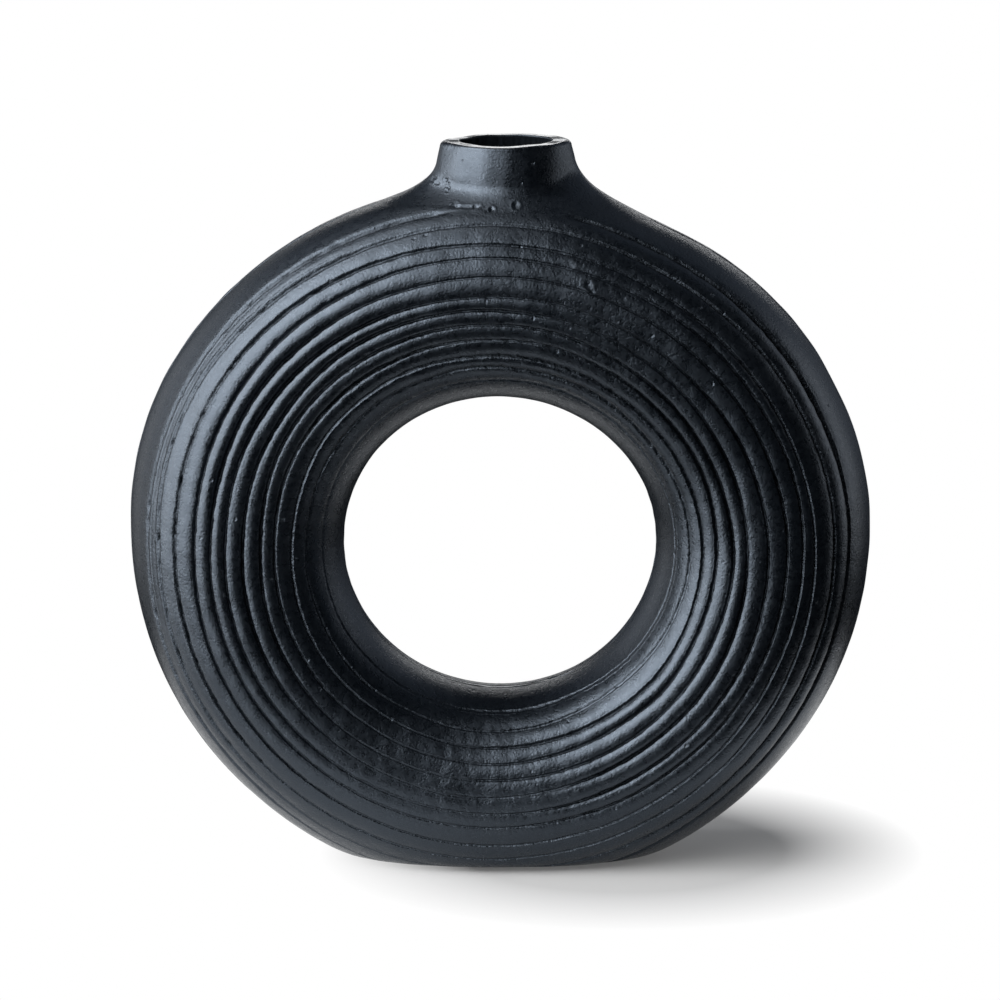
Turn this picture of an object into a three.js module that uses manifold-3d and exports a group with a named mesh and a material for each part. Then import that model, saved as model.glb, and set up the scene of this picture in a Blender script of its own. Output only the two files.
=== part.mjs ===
// Ring vase in cast aluminium with a black coat: two half shells welded along the middle of the ring,
// a neck welded over the opening at the top, and rubber feet under the flat base.
// Millimetres. +Z is up, the front faces -Y, and the origin is on the floor under the middle of the base.

import * as THREE from "three";
import { mergeVertices } from "three/addons/utils/BufferGeometryUtils.js";
import Module from "manifold-3d";

// Ring
const RING_WIDTH = 299;
const RING_RISE = 143; // from the widest level to the top
const RING_FALL = 146.5; // from the widest level to the lowest point, before the foot is ground flat
const BASE_TRIM = 14.2; // ground off below, which makes the flat base
const RING_DEPTH = 85.5;
const HOLE_WIDTH = 127.4;
const HOLE_HEIGHT = 121.4;
const HOLE_DROP = 3.6; // the hole's centre lies this far below the widest level
const SECTION_POWER = 2.2; // 2 is an ellipse, and more is squarer
const WALL = 5;
const FLOOR = 6;

// Grooves round both faces
const GROOVE_PITCH = 6.45; // measured across the ring, as seen from the front
const GROOVE_WIDTH = 2.6;
const GROOVE_DEPTH = 1.3;
const GROOVE_MARGIN_INSIDE = 13.6; // smooth band beside the hole
const GROOVE_MARGIN_OUTSIDE = 7.5; // smooth band beside the outer edge

// Neck, an oval whose radii are given across the front
const NECK_OFFSET = 2.5; // the neck stands this far right of the middle
const NECK_HEIGHT = 17.8; // rim above the top of the ring
const RIM_RADIUS = 25.9;
const RIM_HALF_DEPTH = 17.6; // front to back, which flattens the whole neck
const RIM_ROUND = 2;
const NECK_TAPER = 0.19; // gain in radius for each millimetre down
const MOUTH_RADIUS = 18.4;
const SPIGOT_RADIUS = 25;
const SPIGOT_WALL = 5;
const SPIGOT_DEPTH = 15; // below the top of the ring

// Welds
const FILLET_SIDE_REACH = 24; // from the neck out along the ring
const FILLET_SIDE_RISE = 11.5; // up the neck, at its sides
const FILLET_FACE_REACH = 3.5; // from the neck out over the front and back
const FILLET_FACE_RISE = 4.5;
const FILLET_EDGE = 0.5; // thickness that is left along the fillet's edges
const SEAM_HALF_WIDTH = 2.2;
const SEAM_DEPTH = 2.4;
const SEAM_CROWN = 0.5;

// Feet
const FOOT_RADIUS = 6.5;
const FOOT_THICKNESS = 1.5;
const FOOT_EDGE = 0.4;
const FOOT_SPACING_X = 64;
const FOOT_SPACING_Y = 26;

const FIT_GAP = 0.3; // left between two pieces that seat on each other

// Facets
const RING_STEPS = 48;
const CAVITY_STEPS = 36;
const CAVITY_SECTION_STEPS = 18;
const EDGE_STEPS = 3; // over each smooth band
const NECK_STEPS = 36;
const FILLET_CURVE_STEPS = 5;
const FOOT_STEPS = 16;
const ROUND_STEPS = 4;
const MERGE_DISTANCE = 1e-4;

const SECTION_WIDTH = (RING_WIDTH - HOLE_WIDTH) / 2;
const WIDEST_Z = RING_FALL - BASE_TRIM; // the widest level above the flat base
const RING_TOP_Z = WIDEST_Z + RING_RISE;
const RIM_Z = RING_TOP_Z + NECK_HEIGHT;
const NECK_OVAL = RIM_HALF_DEPTH / RIM_RADIUS;
const BIG = 2 * (RING_WIDTH + RING_RISE + RING_FALL + RING_DEPTH + NECK_HEIGHT);

const wasm = await Module();
wasm.setup();

// Solids

function solidFrom(geometry) {
  const bare = geometry.clone();
  bare.deleteAttribute("normal");
  bare.deleteAttribute("uv");
  const merged = mergeVertices(bare, MERGE_DISTANCE);
  return new wasm.Manifold(
    new wasm.Mesh({
      numProp: 3,
      vertProperties: merged.attributes.position.array,
      triVerts: new Uint32Array(merged.index.array),
    }),
  );
}

function geometryFrom(solid) {
  const { vertProperties, triVerts } = solid.getMesh();
  const geometry = new THREE.BufferGeometry();
  geometry.setAttribute("position", new THREE.BufferAttribute(vertProperties, 3));
  geometry.setIndex(new THREE.BufferAttribute(triVerts, 1));
  geometry.computeVertexNormals();
  return geometry;
}

// A closed skin over rows of points. Each row is a closed outline, and the last row joins the first.
function loft(rows) {
  const count = rows[0].length;
  const positions = rows.flat().flatMap((point) => point.toArray());
  const index = [];
  rows.forEach((row, i) => {
    const here = i * count;
    const next = ((i + 1) % rows.length) * count;
    row.forEach((point, j) => {
      const k = (j + 1) % count;
      index.push(here + j, next + j, next + k, here + j, next + k, here + k);
    });
  });
  const geometry = new THREE.BufferGeometry();
  geometry.setAttribute("position", new THREE.Float32BufferAttribute(positions, 3));
  geometry.setIndex(index);
  return solidFrom(geometry);
}

// A closed outline of [radius, height] points turned about the neck's axis, and flattened to its oval.
function turned(outline, steps) {
  const closed = [...outline, outline[0]].map(([radius, height]) => new THREE.Vector2(radius, height));
  const geometry = new THREE.LatheGeometry(closed, steps);
  geometry.rotateX(Math.PI / 2).scale(1, NECK_OVAL, 1);
  return solidFrom(geometry.translate(NECK_OFFSET, 0, 0));
}

function block(from, to) {
  const low = new THREE.Vector3(...from);
  const size = new THREE.Vector3(...to).sub(low);
  const geometry = new THREE.BoxGeometry(size.x, size.y, size.z);
  const middle = size.divideScalar(2).add(low);
  return solidFrom(geometry.translate(middle.x, middle.y, middle.z));
}

const below = (height) => block([-BIG, -BIG, -BIG], [BIG, BIG, height]);
const behind = (depth) => block([-BIG, depth, -BIG], [BIG, BIG, BIG]);
const before = (depth) => block([-BIG, -BIG, -BIG], [BIG, depth, BIG]);

// The ring's form

// Where a point of the section lies once it is carried round the ring. The section is drawn at the ring's
// right side, and each of its points follows an oval between the hole's and the outer one, which is a little
// fuller below its widest level than above.
function onRing(radius, depth, turn) {
  const share = (radius - HOLE_WIDTH / 2) / SECTION_WIDTH;
  const outerHalf = Math.sin(turn) < 0 ? RING_FALL : RING_RISE;
  const halfHeight = THREE.MathUtils.lerp(HOLE_HEIGHT / 2, outerHalf, share);
  const centre = WIDEST_Z - HOLE_DROP * (1 - share);
  return new THREE.Vector3(radius * Math.cos(turn), depth, centre + halfHeight * Math.sin(turn));
}

const evenTurns = (steps) => Array.from({ length: steps }, (_, i) => (i / steps) * 2 * Math.PI);

function carriedRound(section, turns, place = onRing) {
  return loft(turns.map((turn) => section.map(([radius, depth]) => place(radius, depth, turn))));
}

const rounded = (value) => Math.sign(value) * Math.abs(value) ** (2 / SECTION_POWER);

// A point of the section's outline, grown all round by a distance. Angle 0 is the ring's outer edge, and a
// quarter turn is its back.
function sectionPoint(angle, grow = 0) {
  const radius = (RING_WIDTH + HOLE_WIDTH) / 4 + (SECTION_WIDTH / 2 + grow) * rounded(Math.cos(angle));
  return [radius, (RING_DEPTH / 2 + grow) * rounded(Math.sin(angle))];
}

function plainSection(grow, steps) {
  return Array.from({ length: steps }, (_, i) => sectionPoint((-i / steps) * 2 * Math.PI, grow));
}

const plainRing = (grow) => carriedRound(plainSection(grow, 2 * CAVITY_SECTION_STEPS), evenTurns(RING_STEPS));

// The angle on the back face at a distance out from the hole's edge.
function faceAngle(distance) {
  const across = (2 * distance) / SECTION_WIDTH - 1;
  return Math.acos(Math.sign(across) * Math.abs(across) ** (SECTION_POWER / 2));
}

// A point at the bottom of a groove, sunk square to the outline.
function grooveBottom(angle) {
  const step = 1e-3;
  const [radius, depth] = sectionPoint(angle);
  const [r0, d0] = sectionPoint(angle - step);
  const [r1, d1] = sectionPoint(angle + step);
  const length = Math.hypot(r1 - r0, d1 - d0);
  return [radius - (GROOVE_DEPTH * (d1 - d0)) / length, depth + (GROOVE_DEPTH * (r1 - r0)) / length];
}

// The back half of the section from the outer edge to the hole, with its grooves.
function groovedFace() {
  const room = SECTION_WIDTH - GROOVE_MARGIN_INSIDE - GROOVE_MARGIN_OUTSIDE;
  const count = Math.floor(room / GROOVE_PITCH) + 1;
  const outermost = GROOVE_MARGIN_INSIDE + (count - 1) * GROOVE_PITCH;
  const middles = Array.from({ length: count }, (_, i) => outermost - i * GROOVE_PITCH);
  const lip = GROOVE_WIDTH / 2;
  const firstLip = faceAngle(middles[0] + lip);
  const lastLip = faceAngle(middles[count - 1] - lip);
  const band = (from, to) =>
    Array.from({ length: EDGE_STEPS }, (_, i) => sectionPoint(from + ((to - from) * i) / EDGE_STEPS));
  const grooves = middles.flatMap((middle) => [
    sectionPoint(faceAngle(middle + lip)),
    grooveBottom(faceAngle(middle)),
    sectionPoint(faceAngle(middle - lip)),
  ]);
  return [...band(0, firstLip), ...grooves, ...band(lastLip, Math.PI).slice(1)];
}

function groovedSection() {
  const back = groovedFace();
  const front = back.slice(1).map(([radius, depth]) => [radius, -depth]);
  const holeEdge = sectionPoint(Math.PI);
  return [back[0], ...front, holeEdge, ...back.slice(1).reverse()];
}

// Height of the ring's plain outer face over a point near its top.
function topOfRing(x, y) {
  const across = (1 - Math.abs((2 * y) / RING_DEPTH) ** SECTION_POWER) ** (1 / SECTION_POWER);
  const radius = (RING_WIDTH + HOLE_WIDTH) / 4 + (SECTION_WIDTH / 2) * across;
  return onRing(radius, y, Math.acos(x / radius)).z;
}

// Seam welds

// The bead's outline where it crosses the section: a root, two edges flush with the wall and a low crown.
// Outwards is 1 on the ring's outer edge and -1 in the hole.
function seamSection(edgeRadius, outwards, grow) {
  const halfWidth = SEAM_HALF_WIDTH + grow;
  const crown = SEAM_CROWN + grow;
  const outline = [
    [crown, 0],
    [0.75 * crown, -halfWidth / 2],
    [0, -halfWidth],
    [-SEAM_DEPTH - grow, 0],
    [0, halfWidth],
    [0.75 * crown, halfWidth / 2],
  ];
  const points = outline.map(([out, depth]) => [edgeRadius + outwards * out, depth]);
  return outwards > 0 ? points : points.reverse();
}

// The two turns at which the outer edge meets the flat base.
const baseTurn = Math.asin(WIDEST_Z / RING_FALL);
const seamTurns = [...evenTurns(RING_STEPS), Math.PI + baseTurn, 2 * Math.PI - baseTurn].sort((a, b) => a - b);

// The outer bead runs along the flat base too, where it is dressed flush.
function onSeamOverBase(dressed) {
  return (radius, depth, turn) => {
    const point = onRing(radius, depth, turn);
    const inside = RING_WIDTH / 2 - radius;
    point.z = Math.max(point.z, dressed ? Math.max(inside, 0) : inside);
    return point;
  };
}

const outerSeam = (grow) =>
  carriedRound(seamSection(RING_WIDTH / 2, 1, grow), seamTurns, onSeamOverBase(grow === 0));
const innerSeam = (grow) => carriedRound(seamSection(HOLE_WIDTH / 2, -1, grow), evenTurns(RING_STEPS));

// Neck

const neckRadius = (height) => RIM_RADIUS + NECK_TAPER * (RIM_Z - height);

// An upright oval post on the neck's axis, from the middle of the ring's section to over the rim.
function neckPost(radius) {
  const bottom = RING_TOP_Z - SECTION_WIDTH / 2;
  const top = RIM_Z + NECK_HEIGHT;
  return turned([[0, bottom], [radius, bottom], [radius, top], [0, top]], NECK_STEPS);
}

const neckOpening = () => neckPost(SPIGOT_RADIUS + FIT_GAP);

function quarterRound(centreRadius, centreHeight, round, from) {
  return Array.from({ length: ROUND_STEPS + 1 }, (_, i) => {
    const angle = from + ((i / ROUND_STEPS) * Math.PI) / 2;
    return [centreRadius + round * Math.cos(angle), centreHeight + round * Math.sin(angle)];
  });
}

// A tapered collar, coped over the ring, with a spigot that drops into the opening of the shells.
function neckCollar() {
  const foot = RING_TOP_Z - SPIGOT_DEPTH;
  const innerRound = RIM_ROUND / 2;
  const outline = [
    [SPIGOT_RADIUS - SPIGOT_WALL, foot],
    [neckRadius(foot), foot],
    ...quarterRound(RIM_RADIUS - RIM_ROUND, RIM_Z - RIM_ROUND, RIM_ROUND, 0),
    ...quarterRound(MOUTH_RADIUS + innerRound, RIM_Z - innerRound, innerRound, Math.PI / 2),
  ];
  return turned(outline, NECK_STEPS).subtract(plainRing(FIT_GAP).subtract(neckPost(SPIGOT_RADIUS)));
}

// The fillet in one upright plane through the neck's axis: a hollow curve from the neck down to the ring,
// and the corner between the two below it.
function filletSection(azimuth) {
  const side = Math.cos(azimuth) ** 2;
  const reach = THREE.MathUtils.lerp(FILLET_FACE_REACH, FILLET_SIDE_REACH, side);
  const rise = THREE.MathUtils.lerp(FILLET_FACE_RISE, FILLET_SIDE_RISE, side);
  const acrossX = Math.cos(azimuth);
  const acrossY = NECK_OVAL * Math.sin(azimuth);
  const surface = (radius) => topOfRing(NECK_OFFSET + radius * acrossX, radius * acrossY);
  let cornerZ = RING_TOP_Z;
  for (let i = 0; i < 8; i += 1) {
    cornerZ = surface(neckRadius(cornerZ));
  }
  const corner = neckRadius(cornerZ);
  const lift = FIT_GAP + FILLET_EDGE;
  const curve = new THREE.QuadraticBezierCurve(
    new THREE.Vector2(neckRadius(cornerZ + rise) + lift, cornerZ + rise),
    new THREE.Vector2(corner + lift, cornerZ + lift),
    new THREE.Vector2(corner + reach, surface(corner + reach) + lift),
  );
  const under = Array.from({ length: FILLET_CURVE_STEPS + 1 }, (_, i) => {
    const radius = corner + FIT_GAP + (reach - FIT_GAP) * (1 - i / FILLET_CURVE_STEPS);
    return new THREE.Vector2(radius, surface(radius) + FIT_GAP);
  });
  const top = new THREE.Vector2(neckRadius(cornerZ + rise) + FIT_GAP, cornerZ + rise);
  return [...curve.getPoints(FILLET_CURVE_STEPS), ...under, top].map(
    ({ x, y }) => new THREE.Vector3(NECK_OFFSET + x * acrossX, x * acrossY, y),
  );
}

function neckFillet() {
  const azimuths = Array.from({ length: NECK_STEPS }, (_, i) => (-i / NECK_STEPS) * 2 * Math.PI);
  return loft(azimuths.map(filletSection));
}

// The outer bead ends at the opening, and is dressed flush where the neck and its fillet cover it.
function outerBead() {
  const covered = neckPost(neckRadius(RING_TOP_Z - SPIGOT_DEPTH) + FILLET_SIDE_REACH + FIT_GAP);
  return outerSeam(0).subtract(covered.subtract(plainRing(0))).subtract(neckOpening());
}

// Shells

function hollowRing() {
  const body = carriedRound(groovedSection(), evenTurns(RING_STEPS)).subtract(below(0));
  const cavity = carriedRound(plainSection(-WALL, CAVITY_SECTION_STEPS), evenTurns(CAVITY_STEPS));
  const hollow = body.subtract(cavity.subtract(below(FLOOR)));
  return hollow.subtract(neckOpening()).subtract(outerSeam(FIT_GAP)).subtract(innerSeam(FIT_GAP));
}

function footGeometry() {
  const outline = [
    [0, 0],
    [FOOT_RADIUS - FOOT_EDGE, 0],
    [FOOT_RADIUS, FOOT_EDGE],
    [FOOT_RADIUS, FOOT_THICKNESS],
    [0, FOOT_THICKNESS],
  ].map(([radius, height]) => new THREE.Vector2(radius, height));
  return new THREE.LatheGeometry(outline, FOOT_STEPS).rotateX(Math.PI / 2);
}

// Assembly

const blackCoat = new THREE.MeshStandardMaterial({ color: 0x1c2026, roughness: 0.55, metalness: 0.1 });
const blackRubber = new THREE.MeshStandardMaterial({ color: 0x141414, roughness: 0.9, metalness: 0 });

function piece(name, geometry, material) {
  const mesh = new THREE.Mesh(geometry, material);
  mesh.name = name;
  return mesh;
}

const ring = hollowRing();
const body = new THREE.Group();
body.position.z = FOOT_THICKNESS + FIT_GAP;
body.add(
  piece("front_shell", geometryFrom(ring.subtract(behind(-FIT_GAP / 2))), blackCoat.clone()),
  piece("rear_shell", geometryFrom(ring.subtract(before(FIT_GAP / 2))), blackCoat.clone()),
  piece("outer_seam_weld", geometryFrom(outerBead()), blackCoat.clone()),
  piece("inner_seam_weld", geometryFrom(innerSeam(0)), blackCoat.clone()),
  piece("neck_collar", geometryFrom(neckCollar()), blackCoat.clone()),
  piece("neck_weld", geometryFrom(neckFillet()), blackCoat.clone()),
);

const feet = new THREE.Group();
for (const [depthName, depthSide] of [["front", -1], ["rear", 1]]) {
  for (const [sideName, side] of [["left", -1], ["right", 1]]) {
    const foot = piece(`foot_${depthName}_${sideName}`, footGeometry(), blackRubber.clone());
    foot.position.set((side * FOOT_SPACING_X) / 2, (depthSide * FOOT_SPACING_Y) / 2, 0);
    feet.add(foot);
  }
}

const vase = new THREE.Group();
vase.name = "ring_vase";
vase.add(body, feet);

export default vase;
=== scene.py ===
import math

import bpy
import numpy as np
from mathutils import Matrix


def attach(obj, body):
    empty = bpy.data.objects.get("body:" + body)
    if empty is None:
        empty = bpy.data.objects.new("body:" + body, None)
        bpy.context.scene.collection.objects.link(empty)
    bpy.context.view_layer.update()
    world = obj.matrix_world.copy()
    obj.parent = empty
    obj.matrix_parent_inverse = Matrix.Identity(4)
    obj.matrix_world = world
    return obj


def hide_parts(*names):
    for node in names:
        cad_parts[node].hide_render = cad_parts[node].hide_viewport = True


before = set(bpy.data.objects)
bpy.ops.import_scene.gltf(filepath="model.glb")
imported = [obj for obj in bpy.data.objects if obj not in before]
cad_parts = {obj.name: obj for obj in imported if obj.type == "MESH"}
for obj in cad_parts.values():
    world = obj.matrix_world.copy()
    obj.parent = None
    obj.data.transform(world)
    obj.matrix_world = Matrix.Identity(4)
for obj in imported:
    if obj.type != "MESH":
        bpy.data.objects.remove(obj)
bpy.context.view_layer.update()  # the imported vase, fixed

scene = bpy.context.scene
mm = 0.001
print("frame loaded,", len(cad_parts), "nodes")

# Everything about the ring's form, in millimetres
ringForm = {
    "width": 299.0,
    "rise": 143.0,  # widest level to the top
    "fall": 146.5,  # widest level to the lowest point, before the base is ground flat
    "trim": 14.2,  # ground off below
    "depth": 85.5,
    "holeWidth": 127.4,
    "holeHeight": 121.4,
    "holeDrop": 3.6,
    "power": 2.2,  # 2 is an ellipse, more is squarer
    "wall": 5.0,
    "floor": 6.0,
    "standOff": 1.8,  # the base above the floor
    "baseRound": 1.2,
    "leanLow": 0.3,  # the casting leans a little, right below and left above
    "leanHigh": -1.4,
    "leanOver": (-5.0, 100.0),  # between these heights over the widest level
    "partingGap": 0.15,  # each half keeps this far from the joint
    "steps": 594,
    "outerBulges": (  # angle, spread, millimetres: the outline isn't a true oval
        (163, 17, 1.1),
        (12, 14, 1.0),
        (35, 13, 1.1),
        (63, 9, -1.3),
        (318, 20, -0.9),
        (222, 16, -0.6),
    ),
    "holeBulges": ((335, 30, 0.8),),
    "outerReach": (0.45, 1.0),  # how far they reach into the section, hole 0 to edge 1
    "holeReach": (0.5, 0.0),
}
sectionWidth = (ringForm["width"] - ringForm["holeWidth"]) / 2
widestZ = ringForm["fall"] - ringForm["trim"] + ringForm["standOff"]
ringTopZ = widestZ + ringForm["rise"]
startRadius = 5.0  # every turned piece starts from a small circle here, then each point goes to its place
startMiddle = 50.0


def ease(low, high, value):
    t = np.clip((value - low) / (high - low), 0.0, 1.0)
    return t * t * (3.0 - 2.0 * t)


def lean(z):
    start, end = ringForm["leanOver"]
    much = ease(widestZ + start, widestZ + end, z)
    return ringForm["leanLow"] + (ringForm["leanHigh"] - ringForm["leanLow"]) * much


def groundFlat(z, level):  # soft-edged flat base
    soft = ringForm["baseRound"]
    return level + soft * np.logaddexp(0.0, (z - level) / soft)


def ringPoint(radius, depth, turn):  # a point of the section carried round the ring
    share = (radius - ringForm["holeWidth"] / 2) / sectionWidth
    outerHalf = np.where(np.sin(turn) < 0, ringForm["fall"], ringForm["rise"])
    half = ringForm["holeHeight"] / 2 + (outerHalf - ringForm["holeHeight"] / 2) * share
    z = widestZ - ringForm["holeDrop"] * (1 - share) + half * np.sin(turn)
    return radius * np.cos(turn) + lean(z), depth, z


def sectionOutline(share, lift):  # share 0 is the hole's edge, 1 the outer edge; lift is square to the face
    power = ringForm["power"]
    u = np.clip(2 * share - 1, -1.0, 1.0)
    v = np.maximum(1 - np.abs(u) ** power, 0.0) ** (1 / power)
    outU = np.sign(u) * np.abs(u) ** (power - 1) / (sectionWidth / 2)
    outV = v ** (power - 1) / (ringForm["depth"] / 2)
    length = np.hypot(outU, outV)
    radius = ringForm["holeWidth"] / 2 + share * sectionWidth + lift * outU / length
    return radius, ringForm["depth"] / 2 * v + lift * outV / length


# Smooth noise that closes round the ring, spread about 1: fewest and most waves, how fast the short ones fade
def waves(turn, rng, low, high, fade):
    total = np.zeros_like(turn)
    for n in range(low, high + 1):
        total += rng.normal() * n ** -fade * np.cos(n * turn + rng.uniform(0, 2 * math.pi))
    return total / max(total.std(), 1e-9)


def near(turn, middle, spread):  # 1 at an angle in degrees, falling off round it
    gap = (turn - math.radians(middle) + math.pi) % (2 * math.pi) - math.pi
    return np.exp(-((gap / math.radians(spread)) ** 2))


def nicks(turn, rng, count, width, size):  # scattered short bites, in degrees and millimetres
    total = np.zeros_like(turn)
    for _ in range(count):
        bite = size * rng.uniform(0.2, 1.0) ** 2
        angle = rng.uniform(0, 360)
        total += bite * near(turn, angle, width * rng.uniform(0.5, 1.5))
    return total


def clearSelection():
    if bpy.context.mode != "OBJECT":
        bpy.ops.object.mode_set(mode="OBJECT")
    bpy.ops.object.select_all(action="DESELECT")


def pickOnly(obj):
    clearSelection()
    obj.select_set(True)
    bpy.context.view_layer.objects.active = obj


def turnFacesOut(obj):
    pickOnly(obj)
    bpy.ops.object.mode_set(mode="EDIT")
    bpy.ops.mesh.select_all(action="SELECT")
    bpy.ops.mesh.normals_make_consistent(inside=False)
    bpy.ops.object.mode_set(mode="OBJECT")
    bpy.ops.object.shade_smooth()


# A closed outline of so many points, turned once round Y, or Z if upright; each point keeps its row number
def turnedTube(name, rows, steps, upright):
    clearSelection()
    tilt = (math.pi / 2, 0, 0) if upright else (0, 0, 0)
    middle = (startMiddle * mm, 0, 0)
    bpy.ops.mesh.primitive_circle_add(vertices=rows, radius=startRadius * mm, location=middle, rotation=tilt)
    tube = bpy.context.object
    tube.name = name
    tube.data.name = name
    bpy.ops.object.transform_apply(location=True, rotation=True, scale=True)
    number = tube.data.attributes.new("row", "INT", "POINT")
    number.data.foreach_set("value", np.arange(rows, dtype=np.int32))
    turned = tube.modifiers.new("turned", "SCREW")
    turned.axis = "Z" if upright else "Y"
    turned.angle = 2 * math.pi
    turned.steps = steps
    turned.render_steps = steps
    turned.use_merge_vertices = True
    turned.merge_threshold = 1e-6
    bpy.ops.object.modifier_apply(modifier=turned.name)
    return tube


# Row and step of every point of a turned tube
def rowsAndSteps(tube, steps, upright):
    count = len(tube.data.vertices)
    place = np.zeros(count * 3)
    tube.data.vertices.foreach_get("co", place)
    place = place.reshape(-1, 3)
    row = np.zeros(count, dtype=np.int32)
    tube.data.attributes["row"].data.foreach_get("value", row)
    turn = np.arctan2(place[:, 1], place[:, 0]) if upright else np.arctan2(place[:, 2], place[:, 0])
    step = np.round(turn / (2 * math.pi) * steps).astype(int) % steps
    return row, step


def moveTo(tube, row, step, tables, marks):  # each point goes to its place, in millimetres
    place = np.stack([table[row, step] for table in tables], axis=1) * mm
    tube.data.vertices.foreach_set("co", place.ravel())
    for name, table in marks.items():
        mark = tube.data.attributes.new(name, "FLOAT", "POINT")
        mark.data.foreach_set("value", table[row, step].astype(np.float32))
    tube.data.attributes.remove(tube.data.attributes["row"])
    tube.data.update()
    turnFacesOut(tube)


def standsFor(piece, node):
    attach(piece, "root")
    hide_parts(node)


# Unevenness of a hand-dressed casting, the same for all the pieces so that they still meet
def handWork(x, y, z, shortest=18, longest=52, seed=3):
    rng = np.random.default_rng(seed)
    count = 16
    total = 0
    for _ in range(count):
        a, b, c = rng.normal(size=3) * 2 * math.pi / rng.uniform(shortest, longest)
        total = total + np.sin(a * x + b * y + c * z + rng.uniform(0, 2 * math.pi))
    return total / math.sqrt(count / 2)


def swell(turn, share):  # how far the outline bulges from a true oval
    total = 0
    for angle, spread, size in ringForm["outerBulges"]:
        total = total + size * near(turn, angle, spread) * ease(*ringForm["outerReach"], share)
    for angle, spread, size in ringForm["holeBulges"]:
        total = total + size * near(turn, angle, spread) * ease(*ringForm["holeReach"], share)
    return total


calmer = {"atHole": 0.35, "holeOver": 0.25, "atEdge": 0.3, "edgeFrom": 0.75}  # share of the lumps left there


def lumpiness(share):  # calmer at the hole and the outline
    hole = calmer["atHole"] + (1 - calmer["atHole"]) * ease(0.0, calmer["holeOver"], share)
    return hole * (1 - (1 - calmer["atEdge"]) * ease(calmer["edgeFrom"], 1.0, share))


# Flaws of the casting seen from the front: right, up, radius, depth and half length, in millimetres
flaws = (
    (-3.2, 270.4, 0.8, 0.9, 0.0),
    (6.4, 272.0, 1.0, 0.6, 0.0),
    (-21.2, 276.4, 0.5, 0.6, 0.0),
    (-20.5, 277.6, 0.6, 0.6, 0.0),
    (-20.3, 279.2, 0.4, 0.5, 0.0),
    (-21.5, 280.5, 0.6, 0.5, 0.0),
    (-27.4, 279.4, 0.5, 0.35, 0.4),
    (-26.3, 280.6, 0.5, 0.35, 0.4),
    (-25.2, 278.8, 0.5, 0.3, 0.5),
    (-14.2, 271.3, 0.5, 0.5, 5.2),
    (-17.5, 271.8, 0.7, 0.4, 0.6),
    (-9.2, 271.6, 0.6, 0.45, 0.8),
    (35.3, 242.3, 1.1, 1.0, 0.0),
    (36.6, 240.5, 0.9, 0.9, 0.0),
    (34.4, 243.8, 0.7, 0.5, 0.0),
)
pitting = {  # and many small pits
    "count": 90,
    "across": (-70.0, 75.0),
    "up": (205.0, 268.0),
    "radius": (0.45, 0.9),
    "depth": 0.45,
    "shallowest": 0.3,  # share of that depth
    "rimHeight": 0.35,  # raised rim of a pit, as a share of its depth
    "rimAt": 1.8,  # its middle and spread, in radii
    "rimSpread": 0.6,
    "seed": 8,
}


def allFlaws():
    rng = np.random.default_rng(pitting["seed"])
    pits = list(flaws)
    for _ in range(pitting["count"]):
        x = rng.uniform(*pitting["across"])
        z = rng.uniform(*pitting["up"])
        radius = rng.uniform(*pitting["radius"])
        pits.append((x, z, radius, pitting["depth"] * rng.uniform(pitting["shallowest"], 1.0), 0.0))
    return pits


def flawDepth(x, z):  # below the face, with a raised rim round each pit
    total = np.zeros_like(x)
    for px, pz, radius, depth, half in allFlaws():
        away = np.hypot(np.maximum(np.abs(x - px) - half, 0), z - pz) / radius
        rim = np.exp(-(((away - pitting["rimAt"]) / pitting["rimSpread"]) ** 2))
        total += depth * (np.exp(-away ** 2) - pitting["rimHeight"] * rim)
    return total


# Neck: a tapered oval collar with a thick uneven lip
neck = {
    "offset": 2.5,
    "height": 17.8,
    "oval": 0.68,  # depth against width
    "mouthOval": 0.655,
    "power": 1.75,  # below 2 the oval comes to soft points
    "mouthPower": 1.7,
    "rimRadius": 25.9,
    "rimRound": 1.4,
    "farRound": 2.6,  # how much rounder the lip is at the back
    "endRound": 1.0,  # and at its two ends
    "mouthRound": 0.7,
    "flare": 2.4,
    "flareOver": 8.0,
    "taper": 0.08,
    "mouthRadius": 18.9,
    "spigotRadius": 25.0,
    "spigotWall": 5.0,
    "spigotDepth": 15.0,
    "openingRadius": 25.3,
    "openingHeight": 60.0,
    "openingDrop": 3.0,  # its middle under the ring's top
    "openingSides": 96,
    "clear": 0.3,  # the collar keeps this far off the ring
    "tilt": 0.15,  # right side of the rim stands higher
    "tiltBack": 0.6,  # and its far side
    "unevenTop": 0.1,
    "unevenOver": 12.0,  # down from the rim
    "unevenMouth": 0.26,
    "unevenBore": 0.3,
    "twist": 5.0,  # the lip is turned a little, its right end to the back
    "twistOver": (-1.0, 6.0),  # between these heights over the ring's top
    "facet": (208, 16, 1.1),  # a flat left on the lip by the dressing: angle, spread, depth
    "facetOver": 8.0,
    "rubbedSheenOutside": 1.2,  # how much the lip is rubbed smooth and lightened with a painted highlight, outside and on top
    "rubbedSheenTop": 1.5,
    "hand": 0.12,
    "seed": 5,
    "steps": 480,
    "wallRows": 32,
    "roundRows": 6,
    "topRows": 6,
    "boreRows": 17,
}
rimZ = ringTopZ + neck["height"]


def pinch(azimuth, power):  # how far an oval keeps inside an ellipse
    soft = 0.01  # rounds its points
    across = (np.cos(azimuth) ** 2 + soft) ** (power / 2)
    along = (np.sin(azimuth) ** 2 + soft) ** (power / 2)
    widest = ((1 + soft) ** (power / 2) + soft ** (power / 2)) ** (1 / power)
    return (across + along) ** (-1 / power) * widest


def neckRadius(z, azimuth):  # measured as across the front
    down = rimZ - z
    flare = neck["flare"] * (1 - np.exp(-down / neck["flareOver"]))
    radius = neck["rimRadius"] + flare + neck["taper"] * down
    return radius * pinch(azimuth, neck["power"])


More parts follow.
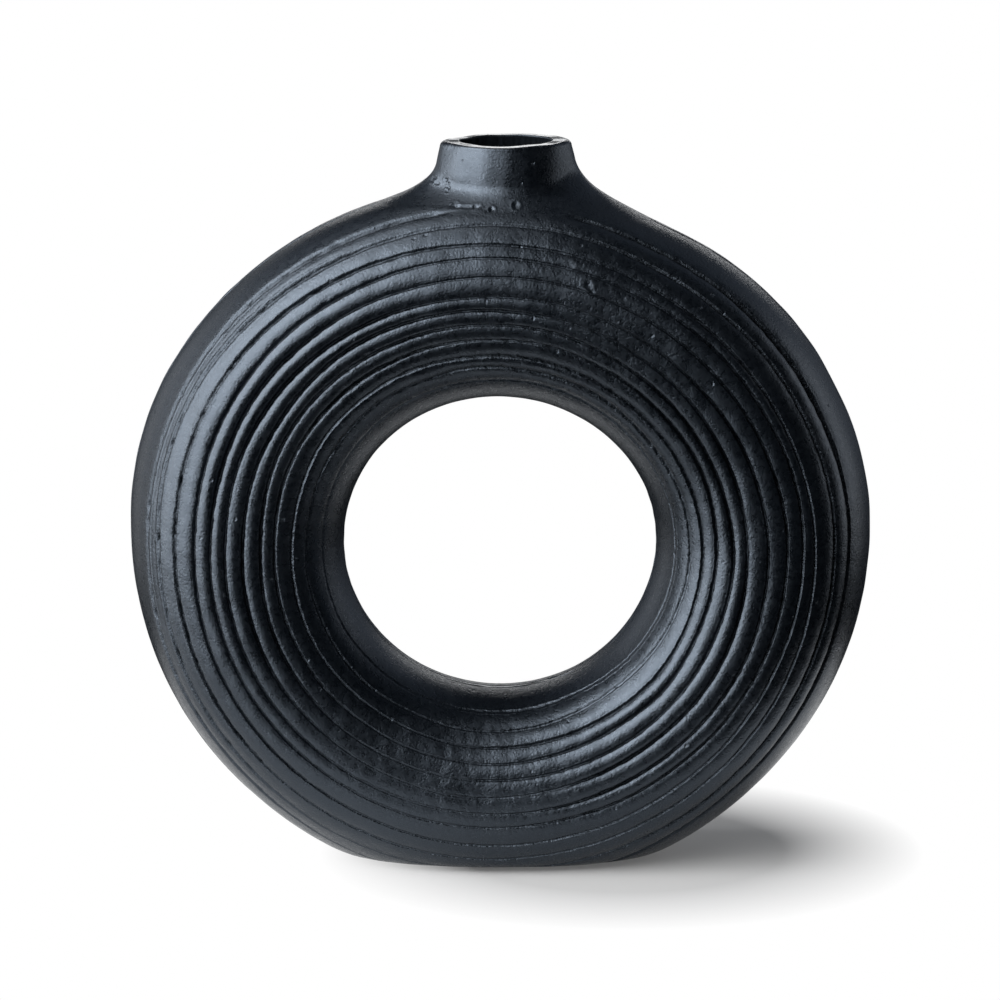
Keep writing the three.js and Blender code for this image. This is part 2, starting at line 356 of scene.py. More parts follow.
def turnedOval(radius, azimuth, oval, z, much):  # the oval turns a little towards the lip
    start, end = neck["twistOver"]
    twist = much * math.radians(neck["twist"]) * ease(ringTopZ + start, ringTopZ + end, z)
    along = radius * np.cos(azimuth)
    across = oval * radius * np.sin(azimuth)
    x = neck["offset"] + along * np.cos(twist) - across * np.sin(twist)
    return x, along * np.sin(twist) + across * np.cos(twist)


def shareAt(y):  # how far out the upper face lies at a depth
    power = ringForm["power"]
    return (1 + (1 - np.abs(2 * y / ringForm["depth"]) ** power) ** (1 / power)) / 2


def topOfRing(x, y):  # height of the ring's face near its top, without its grooves
    share = shareAt(y)
    radius = ringForm["holeWidth"] / 2 + share * sectionWidth
    turn = np.arccos((x - ringForm["leanHigh"]) / radius)
    return ringPoint(radius, y, turn)[2] + swell(turn, share)


def underNeck(radius, azimuth):
    return topOfRing(neck["offset"] + radius * np.cos(azimuth), neck["oval"] * radius * np.sin(azimuth))


def neckCorner(azimuth):  # where the neck's wall meets the ring
    z = ringTopZ * np.ones_like(azimuth)
    for _ in range(10):
        z = underNeck(neckRadius(z, azimuth), azimuth)
    return z


# Neck weld: filled and dressed blend between neck and ring
blend = {
    "sideReach": 27.0,
    "sideRise": 11.5,
    "rightExtra": 5.0,
    "faceReach": 11.0,
    "faceRise": 6.0,
    "sinkAbove": 0.06,  # its edges run in under the neck and the ring
    "sinkBelow": 0.3,
    "clearOver": (0.3, 4.0),  # the ring's grooves run out this far from its edge
    "clearDown": 40.0,  # and no lower than this under the ring's top
    "underside": (0.75, 0.5, 0.25, 0.0),  # rows on the ring, by their share of the reach
    "underIn": 0.5,
    "underSunk": 0.6,
    "curveRows": 56,
    "steps": 480,
}


def blendReach(azimuth):
    side = np.cos(azimuth) ** 4
    right = np.clip(np.cos(azimuth), 0, 1) ** 4 * blend["rightExtra"]
    reach = blend["faceReach"] + (blend["sideReach"] - blend["faceReach"]) * side + right
    rise = blend["faceRise"] + (blend["sideRise"] - blend["faceRise"]) * side ** 2 + right / 2
    return reach, rise


# Shells: half castings, each with its own hand-cut grooves
frontShell = {
    "name": "front_casting",
    "node": "front_shell",
    "side": -1,
    "seed": 11,
    "places": (  # how far out each groove lies at the right, top, left and bottom, hole 0 to edge 1
        (0.085, 0.125, 0.100, 0.060),
        (0.137, 0.195, 0.170, 0.135),
        (0.197, 0.258, 0.235, 0.210),
        (0.262, 0.340, 0.315, 0.280),
        (0.335, 0.410, 0.390, 0.360),
        (0.410, 0.480, 0.470, 0.440),
        (0.503, 0.550, 0.550, 0.530),
        (0.591, 0.640, 0.620, 0.600),
        (0.668, 0.720, 0.700, 0.690),
        (0.728, 0.780, 0.790, 0.770),
        (0.818, 0.865, 0.860, 0.850),
        (0.888, 0.930, 0.910, 0.920),
    ),
    "together": 0.2,  # wander that all the grooves share
    "wander": 0.25,
    "shake": 0.04,
    "fitful": 0.16,  # how much a cut comes and goes
    "faintest": 0.06,
    "strongest": 1.35,
    "uneven": 0.04,
    "unevenWidth": 0.06,
    "nicks": 46,  # bites out of each groove's lips
    "nickSize": (0.5, 0.6),  # degrees and millimetres
    "nicked": (120, 75),  # most of them here: angle, spread
    "strayNicks": 0.25,  # share of them elsewhere
    "crumbs": (165, 55, 9, 170),  # broken cuts: angle, spread, from this groove outwards, how many
    "crumbSize": (0.4, 1.4),
    "crumbWidth": 0.12,  # how much wider they make the cut
    "crumble": 0.06,
    "halfWidth": 0.85,
    "leastWidth": 0.6,  # share of it that a faint cut keeps
    "depth": 1.5,
    "crown": 0.95,  # the bands between bulge this much
    "flats": (  # bands that bulge less: angle, spread, groove, spread, how much less
        (0, 50, 1.2, 2.4, 0.6),
        (165, 46, 10.6, 2.1, 0.5),
        (248, 40, 3.0, 4.0, 0.4),
        (0, 60, 8.0, 3.5, 0.5),
    ),
    "burr": 0.06,
    "burred": (150, 85),  # mostly here: angle, spread
    "strayBurr": 0.12,
    "lipShade": 0.7,  # painted shade: the lips away from the burrs get the grooves' darker colour and weaker reflection
    "lumps": 0.1,
    "rough": 0.016,
    "calmGrit": 0.35,
    "rougher": ((66, 34, 1.6), (264, 38, 2.2), (340, 40, 0.5)),  # angle, spread, how much more
    "fades": (  # angle, spread, groove, spread, what is left there
        (165, 46, 10.6, 2.1, 0.12),
        (70, 26, 7.0, 6.0, 0.28),
        (98, 15, 8.0, 4.0, 0.55),
        (243, 24, 3.5, 5.0, 0.15),
        (245, 48, 4.0, 6.0, 0.7),
        (268, 26, 8.0, 5.0, 0.4),
        (252, 42, 11.0, 2.3, 0.15),
        (312, 30, 0.4, 1.3, 0.12),
        (182, 52, 0.5, 1.9, 0.25),
        (125, 32, 0.8, 1.5, 0.25),
        (0, 42, 0.3, 1.2, 0.25),
        (0, 40, 8.6, 0.9, 0.5),
        (355, 50, 8.0, 3.5, 0.75),
        (0, 999, 0.0, 0.6, 0.4),
    ),
    "spread": (),  # where this half stands out past the other: angle, spread, millimetres
    "flawed": True,
}
rearShell = dict(
    frontShell,
    name="rear_casting",
    node="rear_shell",
    side=1,
    seed=23,
    places=tuple((left, top, right, bottom) for right, top, left, bottom in frontShell["places"]),
    nicked=(60, 75),
    burred=(30, 85),
    crumbs=(20, 50, 9, 130),
    rougher=((120, 50, 1.2), (250, 40, 1.0)),
    fades=(
        (20, 35, 10.5, 2.0, 0.2),
        (110, 20, 7.0, 3.0, 0.4),
        (285, 26, 3.0, 3.0, 0.45),
        (0, 999, 0.0, 0.6, 0.4),
    ),
    spread=((225, 26, 1.3),),
    flawed=False,
)
shellGrid = {  # rows of points across a shell
    "cutOffsets": (-1.5, -1.0, -0.6, -0.2, 0.2, 0.6, 1.0, 1.5),  # in half widths of a groove, the lips at 1
    "flankDepth": 0.6,  # of the groove's depth
    "bandPlaces": (0.2, 0.4, 0.6, 0.8),
    "leastBand": 2.0,
    "edgeBand": 6.0,  # beside the first and the last groove
    "smoothFrom": 1.6,  # the plain edges start this many half widths from a groove
    "smoothOver": 2.0,  # and its drop runs out over this
    "holeRows": 8,
    "edgeRows": 9,
    "skinRows": 8,
}


def atGroove(turn, angle, spread, away):  # falls off round the ring and from groove to groove
    return near(turn, angle, spread) * math.exp(-(away ** 2))


def grooveLines(shell, turn, rng):
    together = shell["together"] * waves(turn, rng, 2, 6, 1.0)
    crumbAngle, crumbSpread, firstBroken, crumbCount = shell["crumbs"]
    lines = []
    for k, (right, top, left, bottom) in enumerate(shell["places"]):
        centre = (right + top + left + bottom) / 4 + (right + left - top - bottom) / 4 * np.cos(2 * turn)
        centre = centre + (right - left) / 2 * np.cos(turn) + (top - bottom) / 2 * np.sin(turn)
        wander = shell["wander"] * waves(turn, rng, 2, 16, 1.3)
        shake = shell["shake"] * waves(turn, rng, 20, 160, 0.2)
        strength = 1 + shell["fitful"] * waves(turn, rng, 2, 14, 0.7)
        for angle, spread, groove, grooves, kept in shell["fades"]:
            strength = strength * (1 - (1 - kept) * atGroove(turn, angle, spread, (k - groove) / grooves))
        strength = np.clip(strength, shell["faintest"], shell["strongest"])
        crown = shell["crown"] * strength
        for angle, spread, groove, grooves, less in shell["flats"]:
            crown = crown * (1 - less * atGroove(turn, angle, spread, (k - groove) / grooves))
        broken = 0
        if k >= firstBroken:
            broken = nicks(turn, rng, crumbCount, *shell["crumbSize"]) * near(turn, crumbAngle, crumbSpread)
        uneven = 1 + shell["uneven"] * waves(turn, rng, 20, 120, 0.1)
        width = shell["halfWidth"] * (shell["leastWidth"] + (1 - shell["leastWidth"]) * strength)
        unevenWidth = 1 + shell["unevenWidth"] * waves(turn, rng, 10, 120, 0.2)
        lines.append({
            "path": centre + (together + wander) / sectionWidth,  # the bands keep to path and width
            "width": width,
            "centre": centre + (together + wander + shake) / sectionWidth,  # the ragged cuts to these
            "half": width * unevenWidth + shell["crumbWidth"] * broken,
            "depth": shell["depth"] * strength * uneven + broken,
            "crown": crown,
            "strength": strength,
        })
    return lines


def bulge(f):  # how far a band has dropped at a share of its width
    return 1 - np.clip(4 * f * (1 - f), 0.0, 1.0) ** 0.7


def shellRows(shell, turn, rng):
    lines = grooveLines(shell, turn, rng)
    last = len(lines) - 1
    power = ringForm["power"]
    rows = []

    def add(share, lift, cut, lip, crumb=0.0):
        ones = np.ones_like(turn)
        rows.append((share * ones, lift * ones, cut * ones, lip * ones, crumb * ones))

    def smoothEdge(count, lipShare, crown, half, outer):
        reach = 0.1
        widest = math.acos((1 - 2 * reach) ** (power / 2))
        order = range(count) if not outer else range(count - 1, -1, -1)
        for i in order:
            inward = (1 - math.cos(widest * i / count) ** (2 / power)) / 2 / reach
            share = 1 - inward * (1 - lipShare) if outer else inward * lipShare
            gap = np.abs(share - lipShare) * sectionWidth + 0.5 * half
            add(share, -crown * np.exp(-gap / shellGrid["smoothOver"]), 0.0, 0.0)

    first = lines[0]
    edge = first["centre"] - shellGrid["smoothFrom"] * first["half"] / sectionWidth
    smoothEdge(shellGrid["holeRows"], edge, first["crown"], first["half"], False)
    crumbAngle, crumbSpread, firstBroken, _ = shell["crumbs"]
    burred = near(turn, *shell["burred"])
    burrs = shell["strayBurr"] + (1 - shell["strayBurr"]) * burred
    bites = shell["strayNicks"] + (1 - shell["strayNicks"]) * near(turn, *shell["nicked"])
    lipEnd = shellGrid["cutOffsets"][-1]
    for k, line in enumerate(lines):
        crumb = near(turn, crumbAngle, crumbSpread) if k >= firstBroken else 0.0
        for offset in shellGrid["cutOffsets"]:
            other = lines[min(max(k + (1 if offset > 0 else -1), 0), last)]
            apart = np.abs(other["path"] - line["path"]) * sectionWidth - line["width"] - other["width"]
            apart = np.maximum(apart, shellGrid["leastBand"]) if other is not line else shellGrid["edgeBand"]
            size = abs(offset)
            ragged = shell["crumble"] * waves(turn, rng, 40, 250, 0.0)
            if size == 1.0:
                nicked = nicks(turn, rng, shell["nicks"], *shell["nickSize"])
                ragged = ragged + nicked * bites * np.sign(offset)
            share = line["centre"] + (offset * line["half"] + 0.6 * ragged) / sectionWidth
            if size >= 1.0:
                f = (size - 1.0) * line["width"] / apart
                lift = -line["crown"] * bulge(f)
                ridge = 1.0 if size == 1.0 else 0.5
                burr = shell["burr"] * line["strength"] * burrs
                lift = lift + ridge * burr * (1 + 0.3 * waves(turn, rng, 8, 90, 0.2))
                # lip mark, strongest where the burrs are: lighter colour as a painted highlight with wear,
                # and smoother
                rubbedSheen = np.clip(line["strength"], 0, 1) * burrs
                # painted shade on the lips away from the burred side
                lipShade = shell["lipShade"] * (1 - burred) if size == 1.0 else 0.0
                add(share, lift, lipShade, ridge * rubbedSheen, crumb)
            else:
                lift = -line["crown"] - line["depth"] * (1.0 if size < 0.3 else shellGrid["flankDepth"])
                lift = lift + 0.8 * ragged * np.sqrt(line["strength"])
                # the cut mark grows with the groove's depth; it paints shade there
                add(share, lift, np.clip(line["depth"] / shell["depth"], 0, 1), 0.0, crumb)
        if k < last:
            other = lines[k + 1]
            start = line["path"] + lipEnd * line["width"] / sectionWidth
            end = other["path"] - lipEnd * other["width"] / sectionWidth
            fromLip = line["path"] + line["width"] / sectionWidth
            toLip = other["path"] - other["width"] / sectionWidth
            for place in shellGrid["bandPlaces"]:
                share = start + (end - start) * place
                f = (share - fromLip) / np.maximum(toLip - fromLip, 0.005)
                add(share, -bulge(f) * (line["crown"] * (1 - f) + other["crown"] * f), 0.0, 0.0)
    outermost = lines[last]
    edge = outermost["centre"] + shellGrid["smoothFrom"] * outermost["half"] / sectionWidth
    smoothEdge(shellGrid["edgeRows"], edge, outermost["crown"], outermost["half"], True)
    return rows


def clearOfNeck(x, y, z):  # 0 under the neck's blend, 1 clear of it
    azimuth = np.arctan2(y / neck["oval"], x - neck["offset"])
    out = np.hypot(x - neck["offset"], y / neck["oval"]) - neckRadius(z, azimuth) - blendReach(azimuth)[0]
    return np.where(z > ringTopZ - blend["clearDown"], ease(*blend["clearOver"], out), 1.0)


def makeShell(shell):
    steps = ringForm["steps"]
    turn = np.arange(steps) / steps * 2 * math.pi
    rng = np.random.default_rng(shell["seed"])
    rows = shellRows(shell, turn, rng)
    share, lift, cut, lip, crumb = (np.array(column) for column in zip(*rows))
    radius, depth = sectionOutline(share, 0 * share)
    x, y, z = ringPoint(radius, shell["side"] * depth, turn)
    clear = clearOfNeck(x, y, z)
    grit = shell["calmGrit"]
    for angle, spread, extra in shell["rougher"]:
        grit = grit + extra * near(turn, angle, spread)
    offSeams = ease(0.0, 0.06, share) * ease(1.0, 0.92, share)
    lift = lift + shell["rough"] * grit * handWork(x, y, z, 8, 18, 4) * offSeams
    lift = lift * clear
    if shell["flawed"]:
        lift = lift - flawDepth(x, z)
    for angle, spread, size in shell["spread"]:
        lift = lift + size * near(turn, angle, spread) * ease(0.7, 1.0, share)
    lift = lift + shell["lumps"] * handWork(x, y, z) * lumpiness(share) + swell(turn, share)
    radius, depth = sectionOutline(share, lift)
    depth = np.maximum(depth, ringForm["partingGap"])

    # the inside skin, from the outer edge back to the hole
    angle = np.linspace(0, math.pi, shellGrid["skinRows"])[:, None] + 0 * turn
    rounded = 2 / ringForm["power"]
    reach = sectionWidth / 2 - ringForm["wall"]
    across = np.sign(np.cos(angle)) * np.abs(np.cos(angle)) ** rounded
    skinRadius = (ringForm["width"] + ringForm["holeWidth"]) / 4 + reach * across
    skinDepth = (ringForm["depth"] / 2 - ringForm["wall"]) * np.sin(angle).clip(0) ** rounded
    skinDepth = np.maximum(skinDepth, ringForm["partingGap"])

    x, y, z = ringPoint(np.vstack([radius, skinRadius]), np.vstack([depth, skinDepth]), turn)
    level = np.full(x.shape, ringForm["standOff"])
    level[len(rows):] += ringForm["floor"]
    z = groundFlat(z, level)
    blank = np.zeros_like(skinRadius)
    # painted shade: the inside skin gets half the grooves' darkening
    marks = {"cut": np.vstack([cut * clear, blank + 0.5]), "lip": np.vstack([lip * clear, blank])}
    marks["edge"] = np.vstack([np.maximum(np.clip(lip + cut, 0, 1), 1.4 * crumb) * clear, blank])
    marks["grit"] = np.vstack([grit * clear, blank])

    casting = turnedTube(shell["name"], x.shape[0], steps, False)
    row, step = rowsAndSteps(casting, steps, False)
    moveTo(casting, row, step, (x, shell["side"] * y, z), marks)
    return casting


def openForNeck(casting):
    clearSelection()
    bpy.ops.mesh.primitive_cylinder_add(
        vertices=neck["openingSides"],
        radius=neck["openingRadius"] * mm,
        depth=neck["openingHeight"] * mm,
        location=(neck["offset"] * mm, 0, (ringTopZ - neck["openingDrop"]) * mm),
    )
    bpy.ops.transform.resize(value=(1, neck["oval"], 1))
    drill = bpy.context.object
    pickOnly(casting)
    opening = casting.modifiers.new("opening", "BOOLEAN")
    opening.operation = "DIFFERENCE"
    opening.solver = "MANIFOLD"
    opening.object = drill
    bpy.ops.object.modifier_apply(modifier=opening.name)
    bpy.data.objects.remove(drill)


def makeCollar():
    steps = neck["steps"]
    azimuth = np.arange(steps) / steps * 2 * math.pi
    rng = np.random.default_rng(neck["seed"])
    ones = np.ones_like(azimuth)
    spigotEnd = ringTopZ - neck["spigotDepth"]
    corner = neckCorner(azimuth)
    mouth = neck["mouthRadius"] * pinch(azimuth, neck["mouthPower"])
    mouth = mouth + neck["unevenMouth"] * waves(azimuth, rng, 2, 9, 0.7)
    rows = []

    def add(radius, z, oval, outside, lip, inside):
        rows.append([value * ones for value in (radius, z, oval, outside, lip, inside)])

    oval = neck["oval"]
    spigot = neck["spigotRadius"]
    mouthOval = neck["mouthOval"]
    mouthRound = neck["mouthRound"]
    # the lip mark smooths the rim and lightens its top, a painted highlight
    rubbedSheen = neck["rubbedSheenTop"]
    bend = neck["roundRows"]
    add(spigot - neck["spigotWall"], spigotEnd, oval, 0, 0, 1)
    add(spigot, spigotEnd, oval, 0, 0, 0)
    add(spigot, underNeck(spigot * ones, azimuth) + neck["clear"], oval, 0, 0, 0)
    wallFoot = corner + neck["clear"]
    add(neckRadius(corner, azimuth), wallFoot, oval, 0, 0, 0)
    rimRound = neck["rimRound"] + neck["farRound"] * ease(0.1, 0.8, np.sin(azimuth))
    rimRound = rimRound + neck["endRound"] * np.cos(azimuth) ** 6
    wallTop = rimZ - rimRound
    for i in range(1, neck["wallRows"] + 1):
        z = wallFoot + (wallTop - wallFoot) * i / (neck["wallRows"] + 1)
        add(neckRadius(z, azimuth), z, oval, 1, 0, 0)
    lipRadius = neckRadius(wallTop, azimuth)
    for i in range(bend + 1):  # outer round of the lip
        a = math.pi / 2 * i / bend
        z = wallTop + rimRound * math.sin(a)
        add(lipRadius - rimRound * (1 - math.cos(a)), z, oval, 1, neck["rubbedSheenOutside"] * i / bend, 0)
    outer = lipRadius - rimRound
    inner = mouth + mouthRound
    for i in range(1, neck["topRows"] + 1):
        t = i / (neck["topRows"] + 1)
        add(outer + (inner - outer) * t, rimZ, oval + (mouthOval - oval) * t, 1 - t, rubbedSheen, 0)
    for i in range(bend + 1):  # inner round
        a = math.pi / 2 * i / bend
        z = rimZ - mouthRound * (1 - math.cos(a))
        add(inner - mouthRound * math.sin(a), z, mouthOval, 0, rubbedSheen * (1 - i / bend), (i / bend) ** 2)
    boreTop = rimZ - mouthRound
    for i in range(1, neck["boreRows"] + 1):
        t = i / (neck["boreRows"] + 1)
        bore = mouth + (spigot - neck["spigotWall"] - mouth) * t
        bore = bore + neck["unevenBore"] * waves(azimuth, rng, 6, 60, 0.2)
        add(bore, boreTop + (spigotEnd - boreTop) * t, mouthOval + (oval - mouthOval) * t, 0, 0, 1)

    radius, z, ovals, outside, lip, inside = (np.array(column) for column in zip(*rows))
    atTop = ease(rimZ - neck["unevenOver"], rimZ, z)
    lift = neck["tilt"] * np.cos(azimuth) + neck["tiltBack"] * np.sin(azimuth)
    z = z + atTop * (lift + neck["unevenTop"] * waves(azimuth, rng, 2, 8, 0.6))
    angle, spread, depth = neck["facet"]
    radius = radius - outside * depth * near(azimuth, angle, spread) * ease(rimZ - neck["facetOver"], rimZ, z)
    x, y = turnedOval(radius, azimuth, ovals, z, 1.0)
    push = outside * neck["hand"] * handWork(x, y, z) - outside * (y < 0) * flawDepth(x, z)
    x = x + push * np.cos(azimuth)
    y = y + push * np.sin(azimuth)
    collar = turnedTube("neck_casting", len(rows), steps, True)
    row, step = rowsAndSteps(collar, steps, True)
    moveTo(collar, row, step, (x, y, z), {"cut": np.zeros_like(x), "lip": lip, "inside": inside})
    return collar


def makeBlend():
    azimuth = np.arange(blend["steps"]) / blend["steps"] * 2 * math.pi
    reach, rise = blendReach(azimuth)
    cornerZ = neckCorner(azimuth)
    corner = neckRadius(cornerZ, azimuth)
    radiusRows = []
    zRows = []
    shares = []
    for i in range(blend["curveRows"]):
        t = i / (blend["curveRows"] - 1)
        out = reach * t ** 2 - blend["sinkAbove"] * (1 - t) ** 8
        up = rise * (1 - t) ** 2 - blend["sinkBelow"] * t ** 8
        radius = corner + out
        for _ in range(20):  # settles on the neck's wall and the ring's face
            z = underNeck(radius, azimuth) + up
            radius = 0.5 * radius + 0.5 * (neckRadius(z, azimuth) + out)
        radiusRows.append(radius)
        zRows.append(z)
        shares.append(t)
    for t in blend["underside"]:
        radius = corner + reach * t - blend["underIn"]
        radiusRows.append(radius)
        zRows.append(underNeck(radius, azimuth) - blend["underSunk"])
        shares.append(t)
    radius = np.array(radiusRows)
    z = np.array(zRows)
    t = np.array(shares)[:, None]
    x, y = turnedOval(radius, azimuth, neck["oval"], z, (1 - t) ** 2)
    lumps = frontShell["lumps"] * lumpiness(shareAt(y))
    push = ((1 - t) * neck["hand"] + t * lumps) * handWork(x, y, z) - (y < 0) * flawDepth(x, z)
    x = x + (1 - t) * push * np.cos(azimuth)
    y = y + (1 - t) * push * np.sin(azimuth)
    z = z + t * push
    blank = np.zeros_like(x)
    weld = turnedTube("neck_blend", len(radius), blend["steps"], True)
    row, step = rowsAndSteps(weld, blend["steps"], True)
    moveTo(weld, row, step, (x, y, z), {"cut": blank, "lip": blank})
    return weld


# Seam welds: low dressed beads between the halves
outerSeam = {
    "name": "outer_seam_bead",
    "node": "outer_seam_weld",
    "radius": 149.5,
    "outwards": 1,
    "halfWidth": 1.5,
    "root": 2.2,
    "crown": 0.16,
    "unevenCrown": 0.5,
    "unevenWidth": 0.15,
    "proud": ((42, 24, 0.15), (225, 26, 0.9)),  # angle, spread, extra height
    "flush": ((90, 27),),  # dressed level beside the neck: angle, spread
    "smooth": 0.3,
    "rubbedSheen": (42, 24, 0.4),  # angle, spread, how much smoother and lighter, a painted highlight
    "seed": 41,
}
innerSeam = dict(
    outerSeam,
    name="inner_seam_bead",
    node="inner_seam_weld",
    radius=63.7,
    outwards=-1,
    crown=0.12,
    proud=(),
    flush=(),
    # painted highlight: the bead is lighter along the hole's bottom
    rubbedSheen=(270, 28, 1.2),
    seed=43,
)
beadOutline = (  # across in half widths, up in crown heights
    (-1.0, -0.35),
    (-0.8, 0.3),
    (-0.45, 0.85),
    (0.0, 1.0),
    (0.45, 0.85),
    (0.8, 0.3),
    (1.0, -0.35),
)


def makeSeam(seam):
    steps = ringForm["steps"]
    turn = np.arange(steps) / steps * 2 * math.pi
    rng = np.random.default_rng(seam["seed"])
    crown = seam["crown"] * (1 + seam["unevenCrown"] * waves(turn, rng, 4, 60, 0.4))
    for angle, spread, extra in seam["proud"]:
        crown = crown + extra * near(turn, angle, spread)
    for angle, spread in seam["flush"]:
        crown = crown * (1 - near(turn, angle, spread))
    half = seam["halfWidth"] * (1 + seam["unevenWidth"] * waves(turn, rng, 5, 50, 0.3))
    middle = seam["radius"] + seam["outwards"] * swell(turn, 1.0 if seam["outwards"] > 0 else 0.0)
    radius = [middle + seam["outwards"] * crown * up for across, up in beadOutline]
    depth = [across * half for across, up in beadOutline]
    radius.append(middle - seam["outwards"] * seam["root"])
    depth.append(0 * turn)
    x, y, z = ringPoint(np.array(radius), np.array(depth), turn)
    level = ringForm["standOff"] + (seam["outwards"] * (middle - np.array(radius))).clip(0)
    z = groundFlat(z, level)
    blank = np.zeros_like(x)
    angle, spread, extra = seam["rubbedSheen"]
    # the lip mark smooths the bead and lightens it, a painted highlight
    smooth = blank + seam["smooth"] + extra * near(turn, angle, spread)
    bead = turnedTube(seam["name"], len(radius), steps, False)
    row, step = rowsAndSteps(bead, steps, False)
    moveTo(bead, row, step, (x, y, z), {"cut": blank, "lip": smooth})
    return bead


# Feet: soft rubber dots
foot = {
    "radius": 6.5,
    "thickness": 1.5,
    "sides": 64,
    "edge": 0.4,
    "edgeSteps": 4,
    "sharpAngle": 40,
    "spacingX": 64.0,
    "spacingY": 26.0,
}


def makeFoot(name, x, y):
    clearSelection()
    bpy.ops.mesh.primitive_cylinder_add(
        vertices=foot["sides"],
        radius=foot["radius"] * mm,
        depth=foot["thickness"] * mm,
        location=(x * mm, y * mm, foot["thickness"] / 2 * mm),
    )
    dot = bpy.context.object
    dot.name = name
    dot.data.name = name
    bpy.ops.object.transform_apply(location=True, rotation=True, scale=True)
    bpy.ops.object.mode_set(mode="EDIT")
    bpy.ops.mesh.select_mode(type="EDGE")
    bpy.ops.mesh.select_all(action="DESELECT")
    bpy.ops.object.mode_set(mode="OBJECT")
    for edge in dot.data.edges:  # the lower rim
        edge.select = all(dot.data.vertices[v].co.z < 1e-5 for v in edge.vertices)
    bpy.ops.object.mode_set(mode="EDIT")
    bpy.ops.mesh.bevel(offset=foot["edge"] * mm, segments=foot["edgeSteps"])
    bpy.ops.object.mode_set(mode="OBJECT")
    bpy.ops.object.shade_smooth_by_angle(angle=math.radians(foot["sharpAngle"]))
    return dot


# Finishes
coat = {
    "dark": (0.0006, 0.0010, 0.0016, 1),
    "pale": (0.0015, 0.0022, 0.0032, 1),
    # painted shade: darker colour in the grooves, by their depth
    "grooveShade": (0.0004, 0.0006, 0.0009, 1),
    # lips partly worn lighter and partly a painted highlight
    "lipWearAndSheen": (0.0110, 0.0130, 0.0160, 1),
    "specular": 0.8,
    # painted shade: far weaker reflection inside the mouth
    "insideSpecular": 0.15,
    "cutSpecular": 0.3,  # painted shade: share of the reflection left in the grooves
    "tint": (0.70, 0.83, 1.0, 1),
    "smoothest": 0.23,
    "roughest": 0.37,
    "polish": 0.11,  # how much smoother the lips are
    "insideRough": 0.9,
    "ior": 1.5,
    "cloudScale": 22,
    "patchScale": 14,
    "sandScale": 480,
    "grainScale": 1100,
    "lipScale": 700,
    "pitScale": 210,
    "pitWarpScale": 900,
    "pitWarp": (0.0016, 0.0016, 0.0016),  # metres
    "sandBump": (0.5, 0.0003),  # strength and metres
    "grainBump": (0.5, 0.0004),
    "lipBump": (0.6, 0.0007),
    "pitBump": (0.6, 0.0004),
}
rubber = {
    "dark": (0.012, 0.012, 0.012, 1),
    "pale": (0.026, 0.026, 0.026, 1),
    "speckScale": 900,
    "bump": (0.2, 0.0002),
}


def wire(tree, fromSocket, toSocket):
    tree.links.new(fromSocket, toSocket)


def newFinish(name):
    material = bpy.data.materials.new(name)
    material.use_nodes = True
    tree = material.node_tree
    return material, tree, tree.nodes["Principled BSDF"]


def objectPlace(tree):
    return tree.nodes.new("ShaderNodeTexCoord").outputs["Object"]


def noise(tree, source, scale, detail, roughness, output="Fac"):
    node = tree.nodes.new("ShaderNodeTexNoise")
    node.inputs["Scale"].default_value = scale
    node.inputs["Detail"].default_value = detail
    node.inputs["Roughness"].default_value = roughness
    wire(tree, source, node.inputs["Vector"])
    return node.outputs[output]


def remap(tree, source, fromLow, fromHigh, toLow, toHigh):
    node = tree.nodes.new("ShaderNodeMapRange")
    node.inputs["From Min"].default_value = fromLow
    node.inputs["From Max"].default_value = fromHigh
    node.inputs["To Min"].default_value = toLow
    node.inputs["To Max"].default_value = toHigh
    wire(tree, source, node.inputs["Value"])
    return node.outputs["Result"]


def blendColour(tree, share, first, second):
    node = tree.nodes.new("ShaderNodeMix")
    node.data_type = "RGBA"
    wire(tree, share, node.inputs["Factor"])
    for name, value in (("A_Color", first), ("B_Color", second)):
        socket = next(s for s in node.inputs if s.identifier == name)
        if isinstance(value, tuple):
            socket.default_value = value
        else:
            wire(tree, value, socket)
    return next(s for s in node.outputs if s.identifier == "Result_Color")


def reckon(tree, operation, first, second):
    node = tree.nodes.new("ShaderNodeMath")
    node.operation = operation
    wire(tree, first, node.inputs[0])
    if isinstance(second, float):
        node.inputs[1].default_value = second
    else:
        wire(tree, second, node.inputs[1])
    return node.outputs[0]


def multiply(tree, first, second):
    return reckon(tree, "MULTIPLY", first, second)


def reckonVector(tree, operation, first, second):
    node = tree.nodes.new("ShaderNodeVectorMath")
    node.operation = operation
    wire(tree, first, node.inputs[0])
    node.inputs[1].default_value = second
    return node


def mixShaders(tree, share, first, second, output):
    node = tree.nodes.new("ShaderNodeMixShader")
    wire(tree, share, node.inputs["Fac"])
    wire(tree, first.outputs[0], node.inputs[1])
    wire(tree, second.outputs[0], node.inputs[2])
    wire(tree, node.outputs[0], tree.nodes[output].inputs["Surface"])


def bump(tree, height, strength, distance, under):
    node = tree.nodes.new("ShaderNodeBump")
    node.inputs["Strength"].default_value = strength
    node.inputs["Distance"].default_value = distance
    wire(tree, height, node.inputs["Height"])
    if under is not None:
        wire(tree, under, node.inputs["Normal"])
    return node.outputs["Normal"]


def attribute(tree, name):
    node = tree.nodes.new("ShaderNodeAttribute")
    node.attribute_name = name
    return node.outputs["Fac"]


